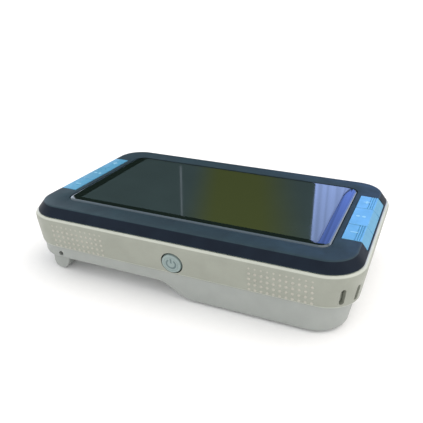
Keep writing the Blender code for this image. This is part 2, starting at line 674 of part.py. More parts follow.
def make_case_screws():
    for x, y, hand in SCREW_SPOTS:
        for mark, end in ENDS:
            head_top = screw_seat(x) - GAP
            head_low = head_top - SCREW_HEAD_HEIGHT
            profile = [(0.0, head_low), (SCREW_HEAD_RADIUS, head_low),
                       (SCREW_HEAD_RADIUS, head_top), (SCREW_RADIUS, head_top),
                       (SCREW_RADIUS, SCREW_TOP_Z), (0.0, SCREW_TOP_Z)]
            turned(f"case_screw_{hand}_{end}", profile, (STEEL, 0.3, 1.0),
                   (x, mark * y, 0.0), steps=16)


make_front_bezel()
make_display()
make_keys()
make_middle_frame()
make_rear_cover()
make_battery_bay()
make_foot()
make_power_button()
make_boards()
make_camera()
make_case_screws()
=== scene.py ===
# %% [markdown]
# # A handheld electronic magnifier
# The object is a thin display case that stands over a page and shows it enlarged. Its packed
# CAD model gives every place and size, so this notebook first loads that model and keeps its
# box. The looks are then built around it: some CAD nodes only need a finish, and the outer
# shells are made again with rounder corners and finer edges.

import math

import bmesh
import bpy
from mathutils import Matrix, Vector


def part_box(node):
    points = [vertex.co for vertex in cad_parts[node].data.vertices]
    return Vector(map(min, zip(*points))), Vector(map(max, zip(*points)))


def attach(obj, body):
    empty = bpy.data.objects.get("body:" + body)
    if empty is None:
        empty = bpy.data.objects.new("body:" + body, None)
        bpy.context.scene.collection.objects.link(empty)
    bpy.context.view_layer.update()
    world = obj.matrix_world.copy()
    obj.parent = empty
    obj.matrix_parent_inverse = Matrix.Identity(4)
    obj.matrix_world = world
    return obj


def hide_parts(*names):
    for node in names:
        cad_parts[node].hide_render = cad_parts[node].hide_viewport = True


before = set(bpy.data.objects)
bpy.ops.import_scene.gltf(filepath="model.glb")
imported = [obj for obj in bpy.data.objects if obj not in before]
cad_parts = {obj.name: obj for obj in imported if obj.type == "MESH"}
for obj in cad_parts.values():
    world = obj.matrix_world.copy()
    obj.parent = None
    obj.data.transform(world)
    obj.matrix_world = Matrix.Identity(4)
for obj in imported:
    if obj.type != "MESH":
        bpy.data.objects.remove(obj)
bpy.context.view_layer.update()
MM = 0.001

# %% [markdown]
# ## Camera
# A small device is shown best a little from above and from its right front corner. The camera
# could be placed by its coordinates, but a turn, a height angle and a distance from a point on
# the case are easier to read and to change one at a time.

# %% Camera
CAMERA_TURN = 23.529
CAMERA_RISE = 24.177
CAMERA_ROLL = -0.107
CAMERA_TARGET = Vector((2.789, -11.302, 28.0)) * MM
CAMERA_DISTANCE = 244.221 * MM
CAMERA_LENS = 45.295


def aim_camera():
    turn, rise = math.radians(CAMERA_TURN), math.radians(CAMERA_RISE)
    back = Vector((math.sin(turn) * math.cos(rise), -math.cos(turn) * math.cos(rise),
                   math.sin(rise)))
    right = Vector((math.cos(turn), math.sin(turn), 0.0))
    axes = Matrix((right, back.cross(right), back)).transposed().to_4x4()
    lens = bpy.data.cameras.new("camera")
    lens.lens = CAMERA_LENS
    lens.clip_start = 0.01
    camera = bpy.data.objects.new("camera", lens)
    camera.matrix_world = (Matrix.Translation(CAMERA_TARGET + back * CAMERA_DISTANCE) @ axes
                           @ Matrix.Rotation(math.radians(-CAMERA_ROLL), 4, "Z"))
    bpy.context.scene.collection.objects.link(camera)
    bpy.context.scene.camera = camera
    return camera


camera = aim_camera()
bpy.context.scene.view_settings.view_transform = "Standard"
print("camera stands at", [round(value / MM, 1) for value in camera.location], "mm")

# %% [markdown]
# ## Small helpers
# Sizes are easiest to read in millimetres, so meshes are built in millimetres and scaled to
# metres once, when they become an object. A finished piece's object stays at the origin, with
# its place in its mesh, so that a pattern in its material can't slide or turn.

# %% Boxes, pieces and shading


def box_mm(node):
    low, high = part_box(node)
    return Vector(low) / MM, Vector(high) / MM


def to_object(bm, name="part"):
    mesh = bpy.data.meshes.new(name)
    bm.to_mesh(mesh)
    bm.free()
    made = bpy.data.objects.new(name, mesh)
    bpy.context.scene.collection.objects.link(made)
    return made


def make_piece(name, bm, materials, body, replaces=(), angle=32.0):
    bmesh.ops.scale(bm, vec=(MM, MM, MM), verts=bm.verts)
    piece = to_object(bm, name)
    mesh = piece.data
    for material in materials:
        mesh.materials.append(material)
    mesh.shade_smooth()
    mesh.set_sharp_from_angle(angle=math.radians(angle))
    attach(piece, body)
    if replaces:
        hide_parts(*replaces)
    print(f"{name}: {len(mesh.polygons)} faces")


print("middle frame in mm:", *[corner.to_tuple(1) for corner in box_mm("middle_frame")])

# %% [markdown]
# ## A profile swept round a rounded rectangle
# The bezel, the frame, the cover and the window all follow a rounded rectangle. Such a hoop
# could be lofted from point lists, but a profile that is spun round each corner and extruded
# along each side gives the same shape with true arcs, and any profile can be used.

# %% The hoop sweep
CORNER_STEPS = 20
MERGE = 0.0005


def only(items, kind):
    return [item for item in items if isinstance(item, kind)]


def hoop(half, radius, profile, closed=False, steps=CORNER_STEPS):
    """The profile is a list of (inset from the outline, height)."""
    bm = bmesh.new()
    far_x, far_y = half[0] - radius, half[1] - radius
    verts = [bm.verts.new((far_x, inset - half[1], z)) for inset, z in profile]
    ends = verts[1:] + (verts[:1] if closed else [])
    part = verts + [bm.edges.new(pair) for pair in zip(verts, ends)]
    corners = (((far_x, -far_y), (0, 2 * far_y)), ((far_x, far_y), (-2 * far_x, 0)),
               ((-far_x, far_y), (0, -2 * far_y)), ((-far_x, -far_y), (2 * far_x, 0)))
    for centre, run in corners:
        spun = bmesh.ops.spin(bm, geom=part, cent=(*centre, 0), axis=(0, 0, 1),
                              angle=math.radians(90), steps=steps)
        edges = only(spun["geom_last"], bmesh.types.BMEdge)
        drawn = bmesh.ops.extrude_edge_only(bm, edges=edges)["geom"]
        verts = only(drawn, bmesh.types.BMVert)
        bmesh.ops.translate(bm, vec=(*run, 0), verts=verts)
        new = set(verts)
        part = verts + [edge for edge in only(drawn, bmesh.types.BMEdge)
                        if edge.verts[0] in new and edge.verts[1] in new]
    bmesh.ops.remove_doubles(bm, verts=bm.verts, dist=0.001)
    return bm


print("steps in each rounded corner:", CORNER_STEPS)


# %% Caps and plates
def rim_edges(bm, z):
    return [edge for edge in bm.edges if edge.is_boundary
            and all(abs(vert.co.z - z) < 0.001 for vert in edge.verts)]


def cap(bm, z):
    bmesh.ops.contextual_create(bm, geom=rim_edges(bm, z))


def slab(half, radius, profile, steps=CORNER_STEPS):
    """A solid plate: its profile's two ends are capped."""
    bm = hoop(half, radius, profile, steps=steps)
    cap(bm, profile[0][1])
    cap(bm, profile[-1][1])
    bmesh.ops.recalc_face_normals(bm, faces=bm.faces)
    return bm


trial = slab((10, 5), 2, [(0, 0), (0, 1)])
print("a trial plate of 20 x 10 x 1 mm holds", round(trial.calc_volume(), 1), "cubic mm")
trial.free()


# %% Bricks, rods, turned and drawn solids
def brick(low, high):
    bm = bmesh.new()
    low, high = Vector(low), Vector(high)
    bmesh.ops.create_cube(bm, size=1.0)
    bmesh.ops.scale(bm, vec=high - low, verts=bm.verts)
    bmesh.ops.translate(bm, vec=(low + high) / 2, verts=bm.verts)
    return bm


def rod(centre, radius, length, axis="Z", sides=48):
    bm = bmesh.new()
    turn = Matrix.Rotation(math.radians(90), 4, "X") if axis == "Y" else Matrix()
    bmesh.ops.create_cone(bm, cap_ends=True, segments=sides, radius1=radius, radius2=radius,
                          depth=length, matrix=Matrix.Translation(centre) @ turn)
    return bm


def turned(profile, sides):
    """A solid turned round the y axis from (radius, y) points that start and end on it."""
    bm = bmesh.new()
    verts = [bm.verts.new((radius, 0, z)) for radius, z in profile]
    edges = [bm.edges.new(pair) for pair in zip(verts, verts[1:])]
    bmesh.ops.spin(bm, geom=verts + edges, cent=(0, 0, 0), axis=(0, 0, 1),
                   angle=math.radians(360), steps=sides, use_merge=True)
    bmesh.ops.remove_doubles(bm, verts=bm.verts, dist=MERGE)
    bmesh.ops.recalc_face_normals(bm, faces=bm.faces)
    bmesh.ops.rotate(bm, cent=(0, 0, 0), verts=bm.verts,
                     matrix=Matrix.Rotation(math.radians(-90), 3, "X"))
    return bm


def extruded(outline, low_y, high_y):
    """A solid with an (x, z) outline, drawn out along y."""
    bm = bmesh.new()
    face = bm.faces.new([bm.verts.new((x, low_y, z)) for x, z in outline])
    drawn = bmesh.ops.extrude_face_region(bm, geom=[face])["geom"]
    bmesh.ops.translate(bm, vec=(0, high_y - low_y, 0), verts=only(drawn, bmesh.types.BMVert))
    bmesh.ops.recalc_face_normals(bm, faces=bm.faces)
    return bm


def round_edges(bm, edges, width, segments):
    bmesh.ops.bevel(bm, geom=edges, offset=width, offset_type="OFFSET", affect="EDGES",
                    segments=segments, profile=0.5, material=-1, clamp_overlap=True)


trial = brick((0, 0, 0), (2, 3, 4))
print("a trial brick of 2 x 3 x 4 mm holds", round(trial.calc_volume(), 1), "cubic mm")
trial.free()


# %% Joining solids, and cutting one with others
def add_solid(bm, other):
    """Puts a second bmesh into the first, without cutting either."""
    mesh = bpy.data.meshes.new("other")
    other.to_mesh(mesh)
    other.free()
    bm.from_mesh(mesh)
    bpy.data.meshes.remove(mesh)


def applied(target, tools=()):
    """Returns the mesh that an object's modifiers give, and removes the objects."""
    ready = target.evaluated_get(bpy.context.evaluated_depsgraph_get())
    result = bmesh.new()
    result.from_mesh(ready.to_mesh())
    ready.to_mesh_clear()
    for used in (target, *tools):
        bpy.data.objects.remove(used, do_unlink=True)
    return result


def carve(bm, steps, solver="EXACT"):
    """Applies (operation, cutter) steps with the Boolean modifier and returns the result."""
    target = to_object(bm)
    tools = []
    for operation, cutter in steps:
        tools.append(to_object(cutter))
        modifier = target.modifiers.new("step", "BOOLEAN")
        modifier.operation = operation
        modifier.solver = solver
        modifier.object = tools[-1]
    result = applied(target, tools)
    bmesh.ops.remove_doubles(result, verts=result.verts, dist=MERGE)
    return result


trial = carve(brick((0, 0, 0), (2, 3, 4)), [("DIFFERENCE", brick((-1, -1, 1), (3, 4, 5)))])
print("cut down to a quarter, it holds", round(trial.calc_volume(), 1), "cubic mm")
trial.free()

# %% [markdown]
# ## Finishes
# Almost everything outside is moulded plastic. On the real part the mould's surface decides
# the look: a spark-eroded mould gives a fine even grain and a broad highlight, and a polished
# mould gives a sharp one. Each finish below starts from the base colour of the plastic and
# adds the grain, a slow change of tone from the flow of the melt, and a change of roughness
# where hands have polished it.

# %% Colour and node helpers


def hex_colour(code):
    parts = [int(code[i:i + 2], 16) / 255 for i in (0, 2, 4)]
    linear = [c / 12.92 if c <= 0.04045 else ((c + 0.055) / 1.055) ** 2.4 for c in parts]
    return (*linear, 1.0)


def add_node(tree, kind, settings=None, **inputs):
    """Inputs are named, with _ for a space, or numbered, as in _0."""
    node = tree.nodes.new("ShaderNode" + kind)
    for name, value in (settings or {}).items():
        setattr(node, name, value)
    for name, value in inputs.items():
        socket = node.inputs[int(name[1:])] if name[1:].isdigit() else \
            node.inputs[name.replace("_", " ")]
        if isinstance(value, bpy.types.NodeSocket):
            tree.links.new(value, socket)
        else:
            socket.default_value = value
    return node


def start_material(name, roughness, metallic=0.0, ior=1.5, coat=0.0, coat_roughness=0.1):
    material = bpy.data.materials.new(name)
    material.use_nodes = True
    tree = material.node_tree
    shader = tree.nodes["Principled BSDF"]
    shader.inputs["Roughness"].default_value = roughness
    shader.inputs["Metallic"].default_value = metallic
    shader.inputs["IOR"].default_value = ior
    shader.inputs["Coat Weight"].default_value = coat
    shader.inputs["Coat Roughness"].default_value = coat_roughness
    place = add_node(tree, "TexCoord").outputs["Object"]
    return material, tree, shader, place


print("middle grey in linear light:", round(hex_colour("808080")[0], 3))


# %% Moulded plastics, rubber and metal
def moulded(name, light, dark, roughness, grain, depth, flow=9.0, ior=1.5, coat=0.0,
            coat_roughness=0.1, spread=0.05, metallic=0.0, gloss=0.5):
    """Grain is the mould's texture and flow the slow change of tone, both as sizes in mm."""
    material, tree, shader, place = start_material(name, roughness, metallic, ior, coat,
                                                   coat_roughness)
    shader.inputs["Specular IOR Level"].default_value = gloss
    slow = add_node(tree, "TexNoise", Vector=place, Scale=1 / (flow * MM), Detail=3.0,
                    Roughness=0.5)
    fine = add_node(tree, "TexNoise", Vector=place, Scale=1 / (grain * MM), Detail=2.0,
                    Roughness=0.6)
    both = add_node(tree, "Math", {"operation": "MULTIPLY_ADD"}, _0=fine.outputs["Fac"],
                    _1=0.45, _2=slow.outputs["Fac"])
    share = add_node(tree, "MapRange", Value=both.outputs[0], From_Min=0.5, From_Max=0.95)
    tone = add_node(tree, "Mix", {"data_type": "RGBA"}, Factor=share.outputs[0],
                    _6=hex_colour(light), _7=hex_colour(dark))
    tree.links.new(tone.outputs[2], shader.inputs["Base Color"])
    worn = add_node(tree, "MapRange", Value=slow.outputs["Fac"], From_Min=0.3, From_Max=0.7,
                    To_Min=roughness - spread, To_Max=roughness + spread)
    tree.links.new(worn.outputs[0], shader.inputs["Roughness"])
    bump = add_node(tree, "Bump", Height=fine.outputs["Fac"], Distance=depth * MM,
                    Strength=1.0)
    tree.links.new(bump.outputs[0], shader.inputs["Normal"])
    return material


# Cream ABS from a spark-eroded mould: matt, with a broad soft highlight. Real grain is about
# 0.05 mm; it is drawn at 0.35 mm so that it shows.
cream_abs = moulded("cream_ABS_spark_eroded", "989B90", "909388", 0.46, 0.35, 0.006)
# The dots are the same plastic, rubbed smoother by fingers, and painted paler: a painted
# highlight on their tips.
dot_painted_highlight = moulded("cream_ABS_painted_highlight_tips", "B0AEA3", "A8A69B", 0.30, 0.3, 0.003)
# The frame's rounded edges are painted paler than its sides: a painted highlight along the lip
# and the lower edge.
edge_painted_highlight = moulded("cream_ABS_rubbed_edge", "B9BDB2", "B1B5AA", 0.34, 0.3, 0.003)
# The same cream plastic in the rear cover, a little cooler because it is another moulding.
cream_cover = moulded("cream_ABS_rear_moulding", "9DA19D", "969A96", 0.48, 0.35, 0.006)
# Dark blue ABS under a satin lacquer, with a soft sheen on the flat.
navy_abs = moulded("navy_ABS_satin_lacquer", "283D46", "20323B", 0.52, 0.35, 0.008, gloss=0.2)
# A darker copy of the same navy for the sloping sides: painted shade, so they look almost
# black beside the flat.
navy_painted_shade = moulded("navy_ABS_painted_shade_slope", "141F2C", "0F1824", 0.50, 0.35, 0.008, gloss=0.12)
# Light blue polycarbonate keys from a polished mould: clear edges and small highlights.
key_plastic = moulded("blue_polycarbonate_key", "58A0C6", "4E96BD", 0.32, 0.25, 0.002,
                      flow=5.0, ior=1.58, coat=0.15, coat_roughness=0.12)
# The keys' printed marks are a pale ink that stands a hair above the plastic.
key_ink = moulded("pale_blue_pad_print", "8CC3DD", "7DB6D3", 0.4, 0.2, 0.001)
# The button is a paler, greener moulding of the same plastic.
button_abs = moulded("grey_green_ABS_button", "8C9C9A", "839391", 0.40, 0.3, 0.003)
# The sign on the button is painted dark: painted shade for an engraved groove.
sign_painted_shade = moulded("sign_painted_groove_shade", "5F7072", "536365", 0.6, 0.2, 0.002)
# Silicone rubber pads: matt, nearly black.
rubber = moulded("black_silicone_rubber", "232425", "1A1B1C", 0.82, 0.4, 0.01)
# Black ABS of the switches and small housings.
black_abs = moulded("black_ABS_moulded", "1B1C1E", "141517", 0.45, 0.3, 0.004)
# Nickel-plated steel: screws, pin, can and socket.
steel = moulded("nickel_plated_steel", "C6C5C2", "AEADAA", 0.28, 0.3, 0.002, metallic=1.0,
                spread=0.08)
print("plastics and metal ready:", len(bpy.data.materials))

# %% [markdown]
# ## Glass, display and lamps
# The window is one sheet of toughened glass. Round its edge the back is printed black, and the
# display shows through the rest. A switched-off display is not black but a dark grey-green,
# and an olive band is painted across part of it, with edges that slant across x and y. The
# bevel is painted paler, a painted highlight. Three finishes on one sheet keep the glass a
# single piece, as it really is.

# %% Display finish
def display_glass():
    """Toughened glass over a switched-off display: smooth, dark, with an uneven olive cast."""
    material, tree, shader, place = start_material("toughened_glass_over_display", 0.035)
    axes = add_node(tree, "SeparateXYZ", Vector=place)
    slant = add_node(tree, "Math", {"operation": "MULTIPLY_ADD"}, _0=axes.outputs["Y"],
                     _1=0.37, _2=axes.outputs["X"])
    rise = add_node(tree, "MapRange", {"interpolation_type": "SMOOTHSTEP"},
                    Value=slant.outputs[0], From_Min=-16 * MM, From_Max=2 * MM)
    fall = add_node(tree, "MapRange", {"interpolation_type": "SMOOTHSTEP"},
                    Value=slant.outputs[0], From_Min=20 * MM, From_Max=46 * MM, To_Min=1.0,
                    To_Max=0.0)
    cast = add_node(tree, "Math", {"operation": "MULTIPLY"}, _0=rise.outputs[0],
                    _1=fall.outputs[0])
    cloud = add_node(tree, "TexNoise", Vector=place, Scale=1 / (14 * MM), Detail=3.0)
    grey = add_node(tree, "Mix", {"data_type": "RGBA"}, Factor=cloud.outputs["Fac"],
                    _6=hex_colour("2E3A3B"), _7=hex_colour("354344"))
    tone = add_node(tree, "Mix", {"data_type": "RGBA"}, Factor=cast.outputs[0],
                    _6=grey.outputs[2], _7=hex_colour("3C4427"))
    tree.links.new(tone.outputs[2], shader.inputs["Base Color"])
    smear = add_node(tree, "TexNoise", Vector=place, Scale=1 / (25 * MM), Detail=2.0)
    haze = add_node(tree, "MapRange", Value=smear.outputs["Fac"], From_Min=0.35, From_Max=0.7,
                    To_Min=0.03, To_Max=0.06)
    tree.links.new(haze.outputs[0], shader.inputs["Roughness"])
    return material


screen_glass = display_glass()
print("display finish:", screen_glass.name)


# %% Glass and lamps
def smooth_glass(name, light, dark, roughness):
    """Glass with a slight change of tone and of smoothness, from handling."""
    material, tree, shader, place = start_material(name, roughness)
    smear = add_node(tree, "TexNoise", Vector=place, Scale=1 / (20 * MM), Detail=2.0)
    tone = add_node(tree, "Mix", {"data_type": "RGBA"}, Factor=smear.outputs["Fac"],
                    _6=hex_colour(light), _7=hex_colour(dark))
    tree.links.new(tone.outputs[2], shader.inputs["Base Color"])
    haze = add_node(tree, "MapRange", Value=smear.outputs["Fac"], To_Min=roughness * 0.7,
                    To_Max=roughness * 1.6)
    tree.links.new(haze.outputs[0], shader.inputs["Roughness"])
    return material


# The printed border is black ceramic ink, fired on the back of the glass.
border_glass = smooth_glass("toughened_glass_over_black_print", "18221E", "131C19", 0.035)
# The glass's ground and polished bevel is painted paler than the border: a painted highlight.
bevel_glass_painted_highlight = smooth_glass("glass_bevel_painted_highlight", "46545E", "3C4A54", 0.10)
# The coating on a camera's glass sends back hardly any light.
lens_glass = smooth_glass("coated_camera_glass", "07090F", "0B0E18", 0.03)
# Lamps are clear epoxy with a yellow phosphor inside.
lamp_epoxy = smooth_glass("clear_epoxy_lamp", "E9E6C8", "DDD9B0", 0.12)
# The panel behind the window is a smooth dark plastic film.
display_panel = smooth_glass("display_panel_film", "1B211F", "151A19", 0.25)
print("glass and lamps ready:", len(bpy.data.materials))


# %% Circuit board and battery
def green_board():
    """Solder mask over copper tracks: green lacquer with slightly raised lines."""
    material, tree, shader, place = start_material("solder_mask_green", 0.35)
    tracks = add_node(tree, "TexBrick", {"offset": 0.5, "squash": 1.0}, Vector=place,
                      Scale=1 / (6 * MM), Mortar_Size=0.045, Color1=hex_colour("1E5A33"),
                      Color2=hex_colour("1A5230"), Mortar=hex_colour("2F7A45"))
    tree.links.new(tracks.outputs["Color"], shader.inputs["Base Color"])
    bump = add_node(tree, "Bump", Height=tracks.outputs["Fac"], Distance=0.03 * MM)
    tree.links.new(bump.outputs[0], shader.inputs["Normal"])
    return material


board_green = green_board()
# The battery's shrink wrap is thin dark film, slightly wrinkled.
battery_wrap = moulded("battery_shrink_wrap", "2A3136", "20262B", 0.38, 1.2, 0.03, flow=14.0)
print("finishes ready:", len(bpy.data.materials))

# %% Finishes for the CAD nodes that stay
NODE_FINISH = {
    "display_window": screen_glass, "window_gasket": rubber, "lcd_panel": display_panel,
    "lcd_backlight_tray": steel, "main_board": board_green, "shield_can": steel,
    "charging_socket": steel, "battery": battery_wrap, "battery_contacts": black_abs,
    "battery_door": cream_cover, "rest_pad_front": rubber, "rest_pad_back": rubber,
    "foot_pin": steel, "foot_pad": rubber, "foot": cream_cover, "camera_window": lens_glass,
    "camera_module": black_abs, "lamp_left": lamp_epoxy, "lamp_right": lamp_epoxy,
    "power_switch": black_abs, "power_button": cream_abs, "front_bezel": navy_abs,
    "middle_frame": cream_abs, "rear_cover": cream_cover}
NAME_FINISH = (("key_switch", black_abs), ("key_board", board_green), ("board_screw", steel),
               ("case_screw", steel), ("key_", key_plastic))
for name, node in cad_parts.items():
    finish = NODE_FINISH.get(name)
    for start, material in NAME_FINISH:
        if finish is None and name.startswith(start):
            finish = material
    node.data.materials.clear()
    node.data.materials.append(finish)
print("CAD nodes finished:", len(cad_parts))

# %% [markdown]
# ## The sizes that everything shares
# The case outline is the rounded rectangle where the bezel meets the frame. The heights come
# from the CAD nodes' boxes, so the shells follow the CAD model if it changes.

# %% Shared sizes
GAP = 0.3
CASE = (box_mm("front_bezel")[1].x, box_mm("front_bezel")[1].y)
CASE_RADIUS = 14.8
TOP = box_mm("front_bezel")[1].z
RIM = TOP - 4.2
SEAM = box_mm("middle_frame")[0].z - GAP / 2
WINDOW = (box_mm("display_window")[1].x, box_mm("display_window")[1].y)
WINDOW_RADIUS = 4.8
WINDOW_TOP = box_mm("display_window")[1].z
LEDGE = box_mm("display_window")[0].z
HANDS = ((-1, "left"), (1, "right"))
ROWS = ("front", "middle", "back")
print("case", CASE, "rim", round(RIM, 2), "seam", round(SEAM, 2), "top", round(TOP, 2))

# %% [markdown]
# ## The front bezel
# The bezel is a moulded frame: a flat top with a window opening, and a side that slopes out to
# the rim. It could be one bevelled block with a hole, but then the slope and the flat could
# not have their own widths, so two hoops are swept, one for the outside and one for the
# opening, and their loops are bridged.

# %% Front bezel
OPENING = (WINDOW[0] + GAP, WINDOW[1] + GAP)
UNDER = TOP - 4.3
GASKET_SEAT = box_mm("window_gasket")[0].z - GAP / 3


def bezel_mesh():
    slope = [(0.0, RIM), (0.0, RIM + 0.2), (0.12, RIM + 0.4), (2.55, TOP - 0.62),
             (2.78, TOP - 0.34), (3.06, TOP - 0.14), (3.4, TOP - 0.04), (3.8, TOP)]
    outside = hoop(CASE, CASE_RADIUS, [(4.6, UNDER), (2.6, RIM - 2.8), (1.0, RIM - 2.8),
                                       (1.0, RIM)] + slope)
    inside = hoop(OPENING, WINDOW_RADIUS + GAP,
                  [(-0.25, TOP), (-0.07, TOP - 0.07), (0.0, TOP - 0.25), (0.0, GASKET_SEAT),
                   (2.8, GASKET_SEAT), (2.8, UNDER)])
    add_solid(outside, inside)
    for z in (TOP, UNDER):
        bmesh.ops.bridge_loops(outside, edges=rim_edges(outside, z))
    bmesh.ops.recalc_face_normals(outside, faces=outside.faces)
    return outside


print("window opening:", [round(2 * half, 1) for half in OPENING], "mm")

# %% Room for the keys, and the painted shade on the bezel's slope
KEY_STRIP = RIM + 0.4
KEY_ROOM_TOP_X = 80.0
KEY_ROOM_LOW_X = 71.5
PAINTED_SHADE_FACING = (0.3, 0.8)


def key_row_box(hand, side, outer_x, low_z, high_z):
    low, high = box_mm(f"key_{hand}_front")
    back = box_mm(f"key_{hand}_back")[1].y
    inner_x = (low.x if side > 0 else -high.x) - GAP
    xs = sorted((side * inner_x, side * outer_x))
    return brick((xs[0], low.y - GAP, low_z), (xs[1], back + GAP, high_z))


cuts = []
for side, hand in HANDS:
    cuts.append(("DIFFERENCE", key_row_box(hand, side, KEY_ROOM_TOP_X, KEY_STRIP, TOP + 5)))
    cuts.append(("DIFFERENCE", key_row_box(hand, side, KEY_ROOM_LOW_X, RIM - 8,
                                           KEY_STRIP + 1)))
bezel_bm = carve(bezel_mesh(), cuts)
# Faces that slope up above the rim take the darker navy: painted shade.
for face in bezel_bm.faces:
    facing_up = PAINTED_SHADE_FACING[0] < face.normal.z < PAINTED_SHADE_FACING[1]
    if facing_up and face.calc_center_median().z > RIM:
        face.material_index = 1
make_piece("front_bezel_shell", bezel_bm, [navy_abs, navy_painted_shade], "case", ["front_bezel"])

# %% [markdown]
# ## The window
# A sheet of glass with a ground bevel. It is a capped hoop; its top is then sliced along the
# edges of the display's visible area, so the middle can have the display's finish.

# %% Window glass
BEVEL = 1.1
BEVEL_DROP = 0.55
VIEW_HALF_X = 55.4
VIEW_LOW_Y = -29.4
VIEW_HIGH_Y = 31.7
FLAT = WINDOW_TOP - 0.01


def slice_at(bm, x=None, y=None):
    place, direction = ((x, 0, 0), (1, 0, 0)) if y is None else ((0, y, 0), (0, 1, 0))
    top = [face for face in bm.faces if face.calc_center_median().z > FLAT]
    geom = top + list({edge for face in top for edge in face.edges}) \
        + list({vert for face in top for vert in face.verts})
    bmesh.ops.bisect_plane(bm, geom=geom, plane_co=place, plane_no=direction, dist=0.0001)


def window_mesh():
    bm = slab(WINDOW, WINDOW_RADIUS, [(0.0, LEDGE), (0.0, WINDOW_TOP - BEVEL_DROP),
                                      (BEVEL * 0.32, WINDOW_TOP - BEVEL_DROP * 0.42),
                                      (BEVEL * 0.7, WINDOW_TOP - BEVEL_DROP * 0.1),
                                      (BEVEL, WINDOW_TOP)])
    for x in (-VIEW_HALF_X, VIEW_HALF_X):
        slice_at(bm, x=x)
    for y in (VIEW_LOW_Y, VIEW_HIGH_Y):
        slice_at(bm, y=y)
    for face in bm.faces:
        middle = face.calc_center_median()
        seen = abs(middle.x) < VIEW_HALF_X and VIEW_LOW_Y < middle.y < VIEW_HIGH_Y
        if middle.z > FLAT:
            face.material_index = 1 if seen else 0
        # The bevel faces take the paler glass: a painted highlight.
        elif face.normal.z > 0.05:
            face.material_index = 2
    return bm


make_piece("window_glass", window_mesh(), [border_glass, screen_glass, bevel_glass_painted_highlight], "case",
           ["display_window"])

# %% [markdown]
# ## The middle frame
# The cream hoop between bezel and cover carries the grip dots, the power button's hole, the
# socket's hole and the two strap slots. Its lip is rounded, and the lip and the lower edge are
# painted paler: a painted highlight.

# %% Middle frame shell
LIP_TOP = RIM - GAP
WIDEST = RIM - 2.0
# The side leans in from its upper edge to its lower one: heights, and insets from the outline.
SIDE_LOW, SIDE_LOW_INSET = SEAM + GAP / 2 + 1.0, 0.28
SIDE_HIGH, SIDE_HIGH_INSET = WIDEST - 1.2, -1.33


def frame_mesh():
    low = SEAM + GAP / 2
    profile = [(0.7, LIP_TOP), (-0.05, LIP_TOP), (-0.5, LIP_TOP - 0.12),
               (-0.85, LIP_TOP - 0.36), (-1.1, LIP_TOP - 0.72), (-1.28, LIP_TOP - 1.15),
               (-1.37, WIDEST), (SIDE_HIGH_INSET, SIDE_HIGH), (SIDE_LOW_INSET, SIDE_LOW),
               (0.4, low + 0.55), (0.62, low + 0.16), (1.0, low), (2.3, low), (0.7, RIM - 3.2)]
    bm = hoop(CASE, CASE_RADIUS, profile, closed=True)
    bmesh.ops.recalc_face_normals(bm, faces=bm.faces)
    return bm


print("the frame's side leans over", round(SIDE_HIGH - SIDE_LOW, 1), "mm of height")

# %% Button hole, socket hole and strap slots
BUTTON = (box_mm("power_button")[0] + box_mm("power_button")[1]) / 2
BUTTON_RADIUS = 4.4
BUTTON_GAP = 0.62
STRAP_ANGLES = (-51.0, -23.0)
STRAP_HALF = (3.55, 1.1)
STRAP_Z = RIM - 9.7
SOCKET_LOW, SOCKET_HIGH = box_mm("charging_socket")
CORNER_CENTRE = Vector((CASE[0] - CASE_RADIUS, CASE_RADIUS - CASE[1], 0))


def strap_slot(degrees):
    bm = slab(STRAP_HALF, STRAP_HALF[1] - 0.01, [(0, -5), (0, 5)], steps=8)
    angle = math.radians(degrees)
    outward = Vector((math.cos(angle), math.sin(angle), 0))
    across = Vector((math.sin(angle), -math.cos(angle), 0))
    axes = Matrix((Vector((0, 0, 1)), across, outward)).transposed().to_4x4()
    centre = CORNER_CENTRE + outward * CASE_RADIUS + Vector((0, 0, STRAP_Z))
    bmesh.ops.transform(bm, matrix=Matrix.Translation(centre) @ axes, verts=bm.verts)
    return bm


button_hole = rod((BUTTON.x, -CASE[1], BUTTON.z), BUTTON_RADIUS + BUTTON_GAP, 8, "Y")
socket_hole = brick((SOCKET_LOW.x - GAP, 40, SOCKET_LOW.z - GAP),
                    (SOCKET_HIGH.x + GAP, 52, SOCKET_HIGH.z + GAP))
holes = [button_hole, socket_hole] + [strap_slot(angle) for angle in STRAP_ANGLES]
frame_bm = carve(frame_mesh(), [("DIFFERENCE", hole) for hole in holes])
# The lip's top and the frame's lower edge take the paler cream: a painted highlight.
for face in frame_bm.faces:
    z = face.calc_center_median().z
    on_lip = z > WIDEST + 0.2 and face.normal.z > 0.45
    on_foot = SEAM + GAP < z < SEAM + 1.2 and -0.85 < face.normal.z < -0.4
    if on_lip or on_foot:
        face.material_index = 1
make_piece("middle_frame_shell", frame_bm, [cream_abs, edge_painted_highlight], "case",
           ["middle_frame"])


# %% Strap pocket behind the two slots
def strap_pocket_mesh():
    """A quarter of a tube behind the corner, so the strap has a wall to turn round."""
    bm = bmesh.new()
    near, far = CASE_RADIUS - 3.1, CASE_RADIUS - 2.45
    low, high = SEAM + 0.6, RIM - 5.2
    corners = [(near, low), (far, low), (far, high), (near, high)]
    face = bm.faces.new([bm.verts.new((radius, 0, z)) for radius, z in corners])
    start = math.radians(-68)
    bmesh.ops.rotate(bm, cent=(0, 0, 0), matrix=Matrix.Rotation(start, 3, "Z"), verts=bm.verts)
    bmesh.ops.spin(bm, geom=[face], cent=(0, 0, 0), axis=(0, 0, 1), angle=math.radians(64),
                   steps=24)
    bmesh.ops.recalc_face_normals(bm, faces=bm.faces)
    bmesh.ops.translate(bm, vec=CORNER_CENTRE, verts=bm.verts)
    return bm


# The pocket takes the same paler cream, painted light inside the slots.
make_piece("strap_pocket", strap_pocket_mesh(), [edge_painted_highlight], "case")

# %% [markdown]
# ## Grip dots
# Four fields of small domes give the fingers a hold. A bump texture could suggest them, but
# they stand out from the surface and catch light one by one, so they are real domes. Each has
# only a few faces because there are hundreds.

